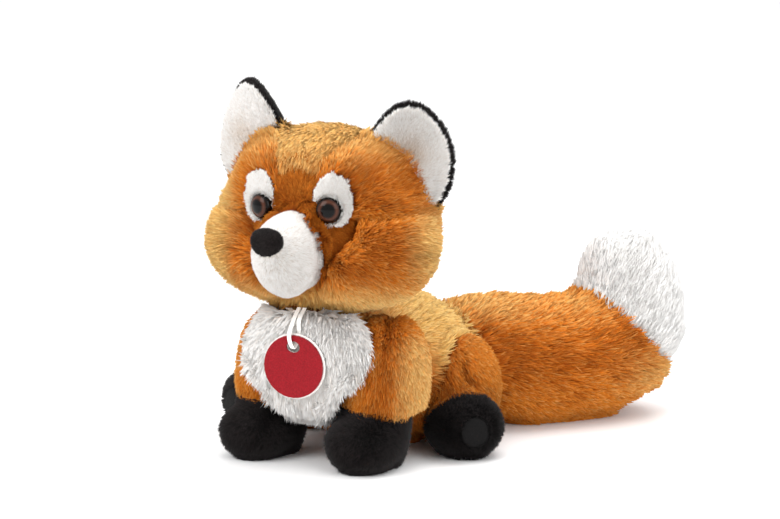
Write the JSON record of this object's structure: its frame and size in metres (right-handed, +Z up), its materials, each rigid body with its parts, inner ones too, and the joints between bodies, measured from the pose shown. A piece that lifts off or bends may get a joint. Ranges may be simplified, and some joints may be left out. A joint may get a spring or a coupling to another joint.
{
  "type": "plush fox",
  "caption": "Sitting plush fox with turning head, folding ears, swinging legs, sweeping white-tipped tail and a hanging round felt tag.",
  "frame": {"origin": "middle of the flat under the body, on the surface that the fox rests on", "axes": "+Z up, -Y forward (the way that the body faces), +X the fox's left"},
  "size_m": [0.1953, 0.2661, 0.1839],
  "materials": {
    "long_pile_orange": "long, soft polyester pile, orange at the roots and golden at the tips",
    "long_pile_white": "long, soft white polyester pile",
    "short_pile_white": "short, dense white plush",
    "short_pile_black": "short, dense black plush",
    "velour_black": "smooth velour sole",
    "flocked_black": "felt-like velour nose",
    "felt_red": "pressed felt",
    "card_white": "stiff white backing disc",
    "ribbon_white": "narrow satin cord",
    "clear_plastic": "clear moulded dome",
    "printed_iris": "brown print with a black pupil",
    "black_plastic": "moulded black plastic",
    "white_plastic": "moulded locking washer"
  },
  "bodies": {
    "torso": {"torso": "long_pile_orange", "chest_bib": "long_pile_white"},
    "head": {"head": "long_pile_orange", "muzzle": "short_pile_white", "nose": "flocked_black", "eye_lens_left": "clear_plastic", "eye_lens_right": "clear_plastic", "eye_iris_left": "printed_iris", "eye_iris_right": "printed_iris", "eye_stem_left": "black_plastic", "eye_stem_right": "black_plastic", "eye_washer_left": "white_plastic", "eye_washer_right": "white_plastic", "eye_patch_left": "short_pile_white", "eye_patch_right": "short_pile_white"},
    "ear_left": {"ear_back_left": "short_pile_black", "ear_lining_left": "short_pile_white"},
    "ear_right": {"ear_back_right": "short_pile_black", "ear_lining_right": "short_pile_white"},
    "front_leg_left": {"front_leg_left": "long_pile_orange", "front_paw_left": "short_pile_black"},
    "front_leg_right": {"front_leg_right": "long_pile_orange", "front_paw_right": "short_pile_black"},
    "hind_leg_left": {"thigh_left": "long_pile_orange", "hind_paw_left": "short_pile_black", "hind_sole_left": "velour_black"},
    "hind_leg_right": {"thigh_right": "long_pile_orange", "hind_paw_right": "short_pile_black", "hind_sole_right": "velour_black"},
    "tail": {"tail": "long_pile_orange", "tail_tip": "long_pile_white"},
    "tag": {"tag_front": "felt_red", "tag_back": "card_white", "tag_loop": "ribbon_white"}
  },
  "joints": [
    {"name": "head_turn", "type": "hinge", "parent": "torso", "child": "head", "pos_m": [0, -0.056, 0.058], "axis": [0, 0, 1], "range_deg": [-20, 20], "stiffness_Nm_per_rad": 0.15},
    {"name": "ear_left_fold", "type": "hinge", "parent": "head", "child": "ear_left", "pos_m": [0.03733, -0.04671, 0.14], "axis": [0.6349, 0.2599, -0.7276], "range_deg": [-10, 10], "stiffness_Nm_per_rad": 0.02},
    {"name": "ear_right_fold", "type": "hinge", "parent": "head", "child": "ear_right", "pos_m": [-0.03539, -0.05307, 0.1475], "axis": [0.7193, -0.1414, 0.6801], "range_deg": [-10, 10], "stiffness_Nm_per_rad": 0.02},
    {"name": "front_leg_left_swing", "type": "hinge", "parent": "torso", "child": "front_leg_left", "pos_m": [0.032, -0.051, 0.048], "axis": [1, 0, 0], "range_deg": [-15, 10], "stiffness_Nm_per_rad": 0.3},
    {"name": "front_leg_right_swing", "type": "hinge", "parent": "torso", "child": "front_leg_right", "pos_m": [-0.0295, -0.051, 0.048], "axis": [1, 0, 0], "range_deg": [-15, 10], "stiffness_Nm_per_rad": 0.3},
    {"name": "hind_leg_left_swing", "type": "hinge", "parent": "torso", "child": "hind_leg_left", "pos_m": [0.042, 0.001, 0.0275], "axis": [1, 0, 0], "range_deg": [-12, 8], "stiffness_Nm_per_rad": 0.3},
    {"name": "hind_leg_right_swing", "type": "hinge", "parent": "torso", "child": "hind_leg_right", "pos_m": [-0.042, 0.001, 0.0275], "axis": [0.9848, -0.1736, 0], "range_deg": [-12, 8], "stiffness_Nm_per_rad": 0.3},
    {"name": "tail_sweep", "type": "hinge", "parent": "torso", "child": "tail", "pos_m": [0.004, 0.026, 0.033], "axis": [0, 0, 1], "range_deg": [-3, 30], "stiffness_Nm_per_rad": 0.15},
    {"name": "tag_swing", "type": "hinge", "parent": "torso", "child": "tag", "pos_m": [0, -0.077, 0.077], "axis": [0.9903, 0.1392, 0], "range_deg": [-60, 0]}
  ]
}
